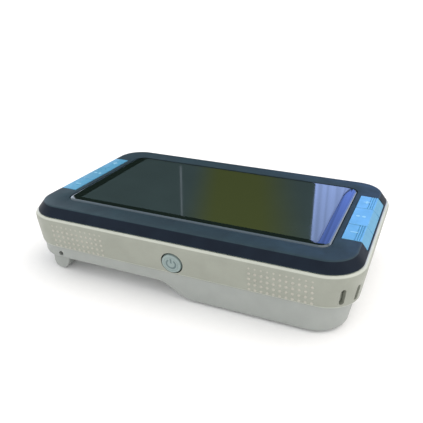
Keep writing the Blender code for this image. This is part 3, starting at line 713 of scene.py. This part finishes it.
# %% Grip dots
DOT_PITCH_X = 2.5
DOT_PITCH_Z = 2.57
DOT_FIRST = (34.05, SEAM + 1.5)
DOT_COLUMNS = 11
DOT_ROWS = 5
DOT_RADIUS = 0.68
DOT_FLAT = 0.5
DOT_SINK = 0.08
WIDEST_Y = box_mm("middle_frame")[1].y


def wall_inset(z):
    """How far the frame's side stands in from the case outline at a height."""
    share = (z - SIDE_LOW) / (SIDE_HIGH - SIDE_LOW)
    return SIDE_LOW_INSET + share * (SIDE_HIGH_INSET - SIDE_LOW_INSET)


def dots_mesh(side_y, side_x):
    bm = bmesh.new()
    for column in range(DOT_COLUMNS):
        for row in range(DOT_ROWS):
            z = DOT_FIRST[1] + row * DOT_PITCH_Z
            x = side_x * (DOT_FIRST[0] + column * DOT_PITCH_X)
            y = side_y * min(CASE[1] - wall_inset(z) - DOT_SINK,
                             WIDEST_Y - DOT_RADIUS * DOT_FLAT)
            flat = Matrix.Diagonal((1, DOT_FLAT, 1, 1))
            bmesh.ops.create_uvsphere(bm, u_segments=10, v_segments=6, radius=DOT_RADIUS,
                                      matrix=Matrix.Translation((x, y, z)) @ flat)
    return bm


# The dots take the paler cream, a painted highlight.
for side_y, face_name in ((-1, "front"), (1, "back")):
    for side_x, hand in HANDS:
        make_piece(f"grip_dots_{face_name}_{hand}", dots_mesh(side_y, side_x), [dot_painted_highlight],
                   "case", angle=60)

# %% [markdown]
# ## The rear cover
# The cover is a tray whose floor steps down in a smooth arch from the thin camera end to the
# deep battery end. A flat tray is swept and capped first, sliced across where the arch will
# be, and then each point is lowered by the arch's height there. Only after that does the
# tray get its wall, so the wall is even along the arch.

# %% The arched tray
COVER_INSET = 1.2
COVER_DRAFT = 0.3
COVER_FILLET = 1.8
FILLET_STEPS = 6
THIN = 6.9
DEEP = box_mm("rear_cover")[0].z
ARCH_HALF = 8.5
ARCH_STEPS = 28
# How far the deep end leans in, as (height, lean) from the floor upwards.
END_LEAN = ((0.0, 3.0), (COVER_FILLET, 2.4), (SEAM - GAP / 2, 0.9))


def floor_height(x):
    share = min(max((x + ARCH_HALF) / (2 * ARCH_HALF), 0.0), 1.0)
    return THIN + (DEEP - THIN) * share * share * (3.0 - 2.0 * share)


def end_lean(z):
    for (low, low_lean), (high, high_lean) in zip(END_LEAN, END_LEAN[1:]):
        if z <= high + 0.001:
            return low_lean + (high_lean - low_lean) * (z - low) / (high - low)
    return END_LEAN[-1][1]


def cover_mesh():
    top = SEAM - GAP / 2
    profile = []
    for step in range(FILLET_STEPS + 1):
        angle = math.radians(90.0 * step / FILLET_STEPS)
        profile.append((COVER_INSET + COVER_DRAFT + COVER_FILLET * (1.0 - math.sin(angle)),
                        COVER_FILLET * (1.0 - math.cos(angle))))
    bm = hoop(CASE, CASE_RADIUS, profile + [(COVER_INSET, top)])
    cap(bm, 0.0)
    for step in range(ARCH_STEPS + 1):
        x = -ARCH_HALF + 2 * ARCH_HALF * step / ARCH_STEPS
        geom = list(bm.faces) + list(bm.edges) + list(bm.verts)
        bmesh.ops.bisect_plane(bm, geom=geom, plane_co=(x, 0, 0), plane_no=(1, 0, 0),
                               dist=0.0001)
    for vert in bm.verts:
        if vert.co.x > ARCH_HALF + 1:
            vert.co.x -= end_lean(vert.co.z)
        if vert.co.z < top - 0.01:
            vert.co.z += floor_height(vert.co.x)
    bmesh.ops.recalc_face_normals(bm, faces=bm.faces)
    largest = max(bm.faces, key=lambda face: face.calc_area())
    if largest.normal.z > 0:
        bmesh.ops.reverse_faces(bm, faces=bm.faces)
    return bm


print("floor heights over the arch:",
      [round(floor_height(x), 1) for x in (-ARCH_HALF, 0, ARCH_HALF)])

# %% The tray's even wall
COVER_WALL = 1.5


def thickened(bm, wall):
    tray = to_object(bm)
    modifier = tray.modifiers.new("wall", "SOLIDIFY")
    modifier.thickness = wall
    modifier.offset = -1.0
    modifier.use_even_offset = True
    return applied(tray)


print("cover wall:", COVER_WALL, "mm")

# %% Foot channel
PIVOT = (box_mm("foot_pin")[0] + box_mm("foot_pin")[1]) / 2
PIN_BORE = 1.2
PIN_SPAN = 110
CHANNEL_WALL = 0.9
HUB_SPACE_Y = 41.7
BLADE_SPACE_Y = 42.8


def channel_steps():
    """The foot's channel: walls are joined first and the space is cut after."""
    left, step, right = PIVOT.x - 3.1, PIVOT.x + 0.4, PIVOT.x + 10.1
    wall = CHANNEL_WALL
    hub_top, blade_top = PIVOT.z + 3.1, PIVOT.z + 3.5
    hub_y, blade_y = HUB_SPACE_Y, BLADE_SPACE_Y
    return [
        ("UNION", brick((left - wall, -hub_y - wall, THIN + 0.8),
                        (step - 0.5, hub_y + wall, hub_top + wall))),
        ("UNION", brick((step - wall - 0.4, -blade_y - wall, THIN + 0.6),
                        (right + wall, blade_y + wall, blade_top + wall))),
        ("DIFFERENCE", brick((left, -hub_y, THIN - 6), (step + 1, hub_y, hub_top))),
        ("DIFFERENCE", brick((step, -blade_y, THIN - 5), (right, blade_y, blade_top))),
        ("DIFFERENCE", rod((PIVOT.x, 0, PIVOT.z), PIN_BORE, PIN_SPAN, "Y", sides=32))]


print("foot turns round x, y, z in mm:", PIVOT.to_tuple(2))

# %% Screw posts and openings
SCREW_HEAD = 1.6
SCREW_BORE = 1.55
POST_WALL = 0.7


def cover_steps():
    steps = channel_steps()
    for hand in ("left", "right"):
        for end in ("front", "back"):
            low, high = box_mm(f"case_screw_{hand}_{end}")
            x, y = (low.x + high.x) / 2, (low.y + high.y) / 2
            floor, seat = floor_height(x), low.z + SCREW_HEAD + GAP
            radius = (high.x - low.x) / 2 + 0.4
            post_top = SEAM + 0.7
            steps += [
                ("UNION", rod((x, y, (floor + 0.8 + post_top) / 2), radius + POST_WALL,
                              post_top - floor - 0.8)),
                ("DIFFERENCE", rod((x, y, seat - 5), radius, 10)),
                ("DIFFERENCE", rod((x, y, 10), SCREW_BORE, 20))]
    low, high = box_mm("battery_door")
    steps.append(("DIFFERENCE", brick((low.x - GAP, low.y - GAP, -5),
                                      (high.x + GAP, high.y + GAP, 5))))
    for name in ("camera_window", "lamp_left", "lamp_right"):
        low, high = box_mm(name)
        steps.append(("DIFFERENCE", rod(((low.x + high.x) / 2, 0, THIN),
                                        (high.x - low.x) / 2 + GAP, 8)))
    for end in ("front", "back"):
        low, high = box_mm(f"rest_pad_{end}")
        steps.append(("DIFFERENCE", brick((low.x - GAP, low.y - GAP, -2),
                                          (high.x + GAP, high.y + GAP, high.z + GAP))))
    return steps


make_piece("rear_cover_shell",
           carve(thickened(cover_mesh(), COVER_WALL), cover_steps(), "MANIFOLD"),
           [cream_cover], "case", ["rear_cover"])

# %% [markdown]
# ## The keys
# Each key folds over the bezel's edge, so it has a flat top and a sloping face. It is an
# outline drawn out along the case's edge, with fine grooves near the fold, and its edges are
# rounded. The small printed marks are pieces of ink that stand just above the plastic.

# %% The key's outline
KEY_FOLD_X = 71.7
KEY_EDGE_X = 74.4
KEY_EDGE_Z = RIM + 1.0
KEY_WALL = 1.5
GROOVE_FIRST = 0.9
GROOVE_PITCH = 0.95
GROOVE_DEPTH = 0.34
GROOVE_HALF = 0.24
KEY_EDGE_ROUND = 0.13


def key_outline(low, high, grooves):
    """Right-hand outline in x and z, from the inner top corner outwards."""
    top, inner = high.z, min(abs(low.x), abs(high.x))
    outline = [(inner, top)]
    for step in reversed(range(grooves)):
        x = KEY_FOLD_X - GROOVE_FIRST - step * GROOVE_PITCH
        outline += [(x - GROOVE_HALF, top), (x, top - GROOVE_DEPTH), (x + GROOVE_HALF, top)]
    outline += [(KEY_FOLD_X - 0.35, top), (KEY_FOLD_X, top - 0.12),
                (KEY_FOLD_X + 0.26, top - 0.38), (KEY_EDGE_X, KEY_EDGE_Z),
                (KEY_EDGE_X - KEY_WALL, KEY_EDGE_Z), (KEY_FOLD_X - 0.6, top - KEY_WALL),
                (inner, top - KEY_WALL)]
    return outline


def key_mesh(low, high, side, grooves):
    outline = [(side * x, z) for x, z in key_outline(low, high, grooves)]
    bm = extruded(outline, low.y, high.y)
    ends = [edge for edge in bm.edges
            if abs(edge.verts[0].co.y - edge.verts[1].co.y) < 0.001
            and max(abs(vert.co.x) for vert in edge.verts) < KEY_EDGE_X + 1]
    round_edges(bm, ends, KEY_EDGE_ROUND, segments=2)
    return bm


print("the key slopes out", round(KEY_EDGE_X - KEY_FOLD_X, 1), "mm past its fold")

# %% Key marks and the six keys
MARK_X = 67.6
MARK_HALF_WIDTH = 0.42
MARK_DOT_RADIUS = 0.85
# The ink starts a little inside the key and ends a little above it.
INK_LOW, INK_HIGH = -0.03, 0.045


def ink_bar(bm, centre, half_x, half_y, top):
    x, y = centre
    add_solid(bm, brick((x - half_x, y - half_y, top + INK_LOW),
                        (x + half_x, y + half_y, top + INK_HIGH)))


def key_marks(row, side, centre_y, top):
    """Generic marks: a minus, two dots and a plus."""
    bm = bmesh.new()
    x = side * MARK_X
    if row == "middle":
        for step in (-1, 1):
            centre = (x + step * 1.25, centre_y, top + (INK_LOW + INK_HIGH) / 2)
            add_solid(bm, rod(centre, MARK_DOT_RADIUS, INK_HIGH - INK_LOW, sides=20))
        return bm
    ink_bar(bm, (x, centre_y), 1.5, MARK_HALF_WIDTH, top)
    if row == "back":
        for step in (1, -1):
            ink_bar(bm, (x, centre_y + step * 0.96), MARK_HALF_WIDTH, 0.54, top)
    return bm


for side, hand in HANDS:
    for row in ROWS:
        node = f"key_{hand}_{row}"
        low, high = box_mm(node)
        grooves = 0 if row == "middle" else 3
        make_piece(f"key_cap_{hand}_{row}", key_mesh(low, high, side, grooves), [key_plastic],
                   node, [node], angle=20)
        make_piece(f"key_mark_{hand}_{row}",
                   key_marks(row, side, (low.y + high.y) / 2, high.z), [key_ink], node)

# %% [markdown]
# ## The power button
# A round cap turned from its cross-section, with a shallow ring groove near its edge and the
# usual sign of a broken ring and a bar on its face. It is turned upright round the y axis and
# then tipped, so that it lies parallel with the frame's leaning side, and it sits a little low
# in its hole, as a loose button does. The sign could be engraved with a cutter, but so fine a
# groove would hardly show, so it is a separate inlay that lies a hair above the face, painted
# dark as painted shade for the groove.

# %% Power button
SIGN_RADIUS = 2.05
SIGN_HALF = 0.36
INLAY = 0.03
BUTTON_PROUD = 0.3
BUTTON_SHIFT = Vector((-0.14, 0, -0.28))


def on_wall(bm):
    """Turns a piece made round the y axis to lie parallel with the frame's leaning side."""
    run = SIDE_HIGH - SIDE_LOW
    lean = math.atan2(wall_inset(0.0) - wall_inset(run), run)
    bmesh.ops.rotate(bm, cent=(0, 0, 0), matrix=Matrix.Rotation(lean, 3, "X"), verts=bm.verts)
    face_y = wall_inset(BUTTON.z) - CASE[1] - BUTTON_PROUD
    bmesh.ops.translate(bm, vec=Vector((BUTTON.x, face_y, BUTTON.z)) + BUTTON_SHIFT,
                        verts=bm.verts)
    return bm


def button_mesh():
    face, edge = 0.0, BUTTON_RADIUS
    profile = [(0.0, face), (2.95, face), (3.05, 0.12), (3.35, 0.12), (3.45, face),
               (edge - 0.35, face), (edge - 0.1, 0.1), (edge, 0.35), (edge, 2.8),
               (edge + 0.7, 2.8), (edge + 0.7, 3.6), (0.8, 3.6), (0.8, 4.4), (0.0, 4.4)]
    return on_wall(turned(profile, sides=96))


def sign_mesh():
    bm = bmesh.new()
    low, high = SIGN_RADIUS - SIGN_HALF, SIGN_RADIUS + SIGN_HALF
    face = bm.faces.new([bm.verts.new((r, y, 0)) for r, y in
                         ((low, INLAY), (high, INLAY), (high, -INLAY), (low, -INLAY))])
    bmesh.ops.rotate(bm, cent=(0, 0, 0), verts=bm.verts,
                     matrix=Matrix.Rotation(math.radians(-125), 3, "Y"))
    bmesh.ops.spin(bm, geom=[face], cent=(0, 0, 0), axis=(0, 1, 0), angle=math.radians(-290),
                   steps=48)
    add_solid(bm, brick((-SIGN_HALF, -INLAY, 0.35), (SIGN_HALF, INLAY, 2.6)))
    bmesh.ops.recalc_face_normals(bm, faces=bm.faces)
    return on_wall(bm)


make_piece("power_button_cap", button_mesh(), [button_abs], "power_button", ["power_button"],
           angle=25)
make_piece("power_button_sign", sign_mesh(), [sign_painted_shade], "power_button")

# %% [markdown]
# ## The fold-out foot
# The foot is one moulded bar: a round hub on the pin and a rounded blade that meets the
# table. Its section is drawn out along y, with the blade a little longer than the hub, and
# the blade's long edges are rounded.

# %% Foot
FOOT_LOW, FOOT_HIGH = box_mm("foot")
HUB_RADIUS = 2.7
HUB_HALF_Y = 41.4
FOOT_ROUND = 0.35
PAD_LOW, PAD_HIGH = box_mm("foot_pad")


def foot_mesh():
    waist, low = THIN - 0.2, FOOT_LOW.z
    hub = [(PIVOT.x + HUB_RADIUS * math.cos(math.radians(a)),
            PIVOT.z + HUB_RADIUS * math.sin(math.radians(a))) for a in range(-10, 191, 10)]
    stem = extruded(hub + [(PIVOT.x - 2.8, waist - 0.5), (PIVOT.x + 2.6, waist - 0.5)],
                    -HUB_HALF_Y, HUB_HALF_Y)
    section = [(-6.5, waist), (-6.5, low + 3.4), (-6.2, low + 2.3), (-5.7, low + 1.45),
               (-5.05, low + 0.75), (-4.25, low + 0.25), (-3.4, low), (-1.2, low),
               (-0.45, low + 0.22), (0.25, low + 0.75), (0.85, low + 1.5), (1.35, low + 2.4),
               (1.8, low + 3.5), (2.2, low + 4.7), (2.6, waist)]
    blade = extruded([(PIVOT.x + x, z) for x, z in section], FOOT_LOW.y, FOOT_HIGH.y)
    sharp = [edge for edge in blade.edges if edge.is_manifold
             and edge.calc_face_angle(0.0) > math.radians(60)]
    round_edges(blade, sharp, FOOT_ROUND, segments=3)
    pad_slot = brick((PAD_LOW.x - GAP, PAD_LOW.y - GAP, -2),
                     (PAD_HIGH.x + GAP, PAD_HIGH.y + GAP, PAD_HIGH.z + GAP))
    return carve(blade, [("UNION", stem),
                         ("DIFFERENCE", rod(PIVOT, PIN_BORE, PIN_SPAN, "Y", sides=32)),
                         ("DIFFERENCE", pad_slot)])


make_piece("foot_bar", foot_mesh(), [cream_cover], "foot", ["foot"])

# %% [markdown]
# ## Door ribs and socket tongue
# The battery door has six low ribs for the thumb, and the charging socket has a tongue. They
# are small, but they tell the eye how large the object is. The ribs could be a bump pattern,
# but they stand out from the door, so each is a thin brick.

# %% Door ribs and socket tongue
RIB_COUNT = 6
RIB_PITCH = 1.6
RIB_WIDTH = 0.7


def door_ribs_mesh():
    low, _ = box_mm("battery_door")
    bm = bmesh.new()
    for step in range(RIB_COUNT):
        x = low.x + 5 + step * RIB_PITCH
        add_solid(bm, brick((x, -8, low.z - 0.15), (x + RIB_WIDTH, 8, low.z + 0.1)))
    return bm


make_piece("battery_door_ribs", door_ribs_mesh(), [cream_cover], "case")
make_piece("socket_tongue", brick((SOCKET_LOW.x + 1.9, SOCKET_LOW.y + 2.4, SOCKET_LOW.z + 1.5),
                                  (SOCKET_HIGH.x - 1.9, SOCKET_HIGH.y - 1.2,
                                   SOCKET_HIGH.z - 1.6)),
           [black_abs], "case")

# %% [markdown]
# ## Floor
# The floor is plain white paper, wide enough that its far edge melts into the white room. It
# glows very slightly, which keeps the ground white under the case and its shadow light.

# %% Floor
FLOOR_HALF = 20.0
FLOOR_GLOW = 0.05


def paper_floor():
    material, tree, shader, place = start_material("white_seamless_paper", 0.9)
    grain = add_node(tree, "TexNoise", Vector=place, Scale=1 / (3 * MM), Detail=2.0)
    tone = add_node(tree, "Mix", {"data_type": "RGBA"}, Factor=grain.outputs["Fac"],
                    _6=hex_colour("F6F6F6"), _7=hex_colour("F2F2F2"))
    tree.links.new(tone.outputs[2], shader.inputs["Base Color"])
    shader.inputs["Emission Color"].default_value = (1.0, 1.0, 1.0, 1.0)
    shader.inputs["Emission Strength"].default_value = FLOOR_GLOW
    return material


floor_bm = bmesh.new()
bmesh.ops.create_grid(floor_bm, x_segments=1, y_segments=1, size=FLOOR_HALF)
floor = to_object(floor_bm, "floor")
floor.data.materials.append(paper_floor())
print("floor width:", 2 * FLOOR_HALF, "m")

# %% [markdown]
# ## Lights and the white room
# A white room lights the case evenly from all round. A warm, very wide sun from the upper
# right stands for a large softbox and gives the short soft shadow, and a weak one in front
# keeps the near side clear. Area lights could do the same, but their strength changes with
# distance, and a sun's doesn't.

# %% Suns and room
def soft_sun(name, strength, spread, source, colour):
    """A sun shining from a direction, with a wide disc for soft shadows."""
    lamp = bpy.data.lights.new(name, "SUN")
    lamp.energy = strength
    lamp.angle = math.radians(spread)
    lamp.color = colour
    sun = bpy.data.objects.new(name, lamp)
    sun.rotation_euler = Vector(source).to_track_quat("Z", "Y").to_euler()
    bpy.context.scene.collection.objects.link(sun)


soft_sun("overhead_softbox", 1.15, 70, (0.60, 0.28, 1.0), (1.0, 0.92, 0.85))
soft_sun("front_fill", 0.25, 50, (0.25, -0.9, 0.45), (1.0, 0.98, 0.95))
world = bpy.data.worlds.new("room")
world.use_nodes = True
world.node_tree.nodes["Background"].inputs["Color"].default_value = (0.985, 0.99, 1.0, 1.0)
world.node_tree.nodes["Background"].inputs["Strength"].default_value = 1.02
bpy.context.scene.world = world
print("lights:", [lamp.name for lamp in bpy.data.lights])

# %% [markdown]
# ## Cards for the window to mirror
# Glass is mostly seen by what it mirrors, here a room's bright curtained window and the dark
# wall round it. An image of a room could be wrapped round the scene, but a few upright cards
# are easier to place. They glow like thin curtains, stand far behind the case in front of a
# black one, and are seen only in reflections, so they light nothing and cast no shadow.

# %% Cards
CARD_Y = 1000
PALE_BLUE = (0.37, 0.50, 1.0)
DEEP_BLUE = (0.18, 0.31, 1.0)
COOL_WHITE = (0.80, 0.86, 1.0)


def glowing_cloth(name, colour, strength, fold):
    """A lit curtain: brighter and darker upright folds, at a size in mm."""
    material = bpy.data.materials.new(name)
    material.use_nodes = True
    tree = material.node_tree
    tree.nodes.clear()
    place = add_node(tree, "TexCoord").outputs["Object"]
    upright = add_node(tree, "Mapping", Vector=place, Scale=(1 / (fold * MM), 1.0, 0.4))
    folds = add_node(tree, "TexNoise", Vector=upright.outputs[0], Scale=1.0, Detail=2.0)
    power = add_node(tree, "MapRange", Value=folds.outputs["Fac"], From_Min=0.3, From_Max=0.7,
                     To_Min=strength * 0.75, To_Max=strength * 1.25)
    light = add_node(tree, "Emission", Color=(*colour, 1.0), Strength=power.outputs[0])
    add_node(tree, "OutputMaterial", Surface=light.outputs[0])
    return material


def card(name, corners, y, material):
    """An upright card, seen only in reflections. Corners are (x, z), anticlockwise."""
    bm = bmesh.new()
    bmesh.ops.create_grid(bm, x_segments=1, y_segments=1, size=1.0)
    for vert in bm.verts:
        x, z = corners[(0 if vert.co.y < 0 else 3) if vert.co.x < 0
                       else (1 if vert.co.y < 0 else 2)]
        vert.co = Vector((x, y, z)) * MM
    panel = to_object(bm, name)
    panel.data.materials.append(material)
    panel.visible_camera = panel.visible_diffuse = panel.visible_shadow = False


def upright(left, right, low, high):
    return (left, low), (right, low), (right, high), (left, high)


# Name, corners in mm, colour, strength and the width of a fold in mm. The first two panes have
# a slanted edge, where the curtain hangs across them.
PANES = (
    ("pane_left", ((-160, 300), (-44, 300), (-157, 700), (-160, 700)), PALE_BLUE, 3.6, 11),
    ("pane_right", ((-40, 300), (330, 300), (330, 700), (-154, 700)), DEEP_BLUE, 3.3, 30),
    ("pane_far", upright(340, 1100, 200, 900), COOL_WHITE, 2.6, 60),
    ("pane_sky", upright(-2400, -1000, 100, 1200), COOL_WHITE, 2.6, 300),
    ("door_gap", upright(-531, -526, 415, 600), COOL_WHITE, 0.55, 30))
for name, corners, colour, strength, fold in PANES:
    card(name, corners, CARD_Y, glowing_cloth(f"lit_{name}", colour, strength, fold))
dark, _, dark_shader, _ = start_material("black_velvet", 0.95)
dark_shader.inputs["Base Color"].default_value = (0.002, 0.002, 0.002, 1.0)
dark_shader.inputs["Specular IOR Level"].default_value = 0.0
card("black_flag", upright(-2500, 2500, -300, 1300), CARD_Y + 60, dark)
print("cards:", len(PANES) + 1)
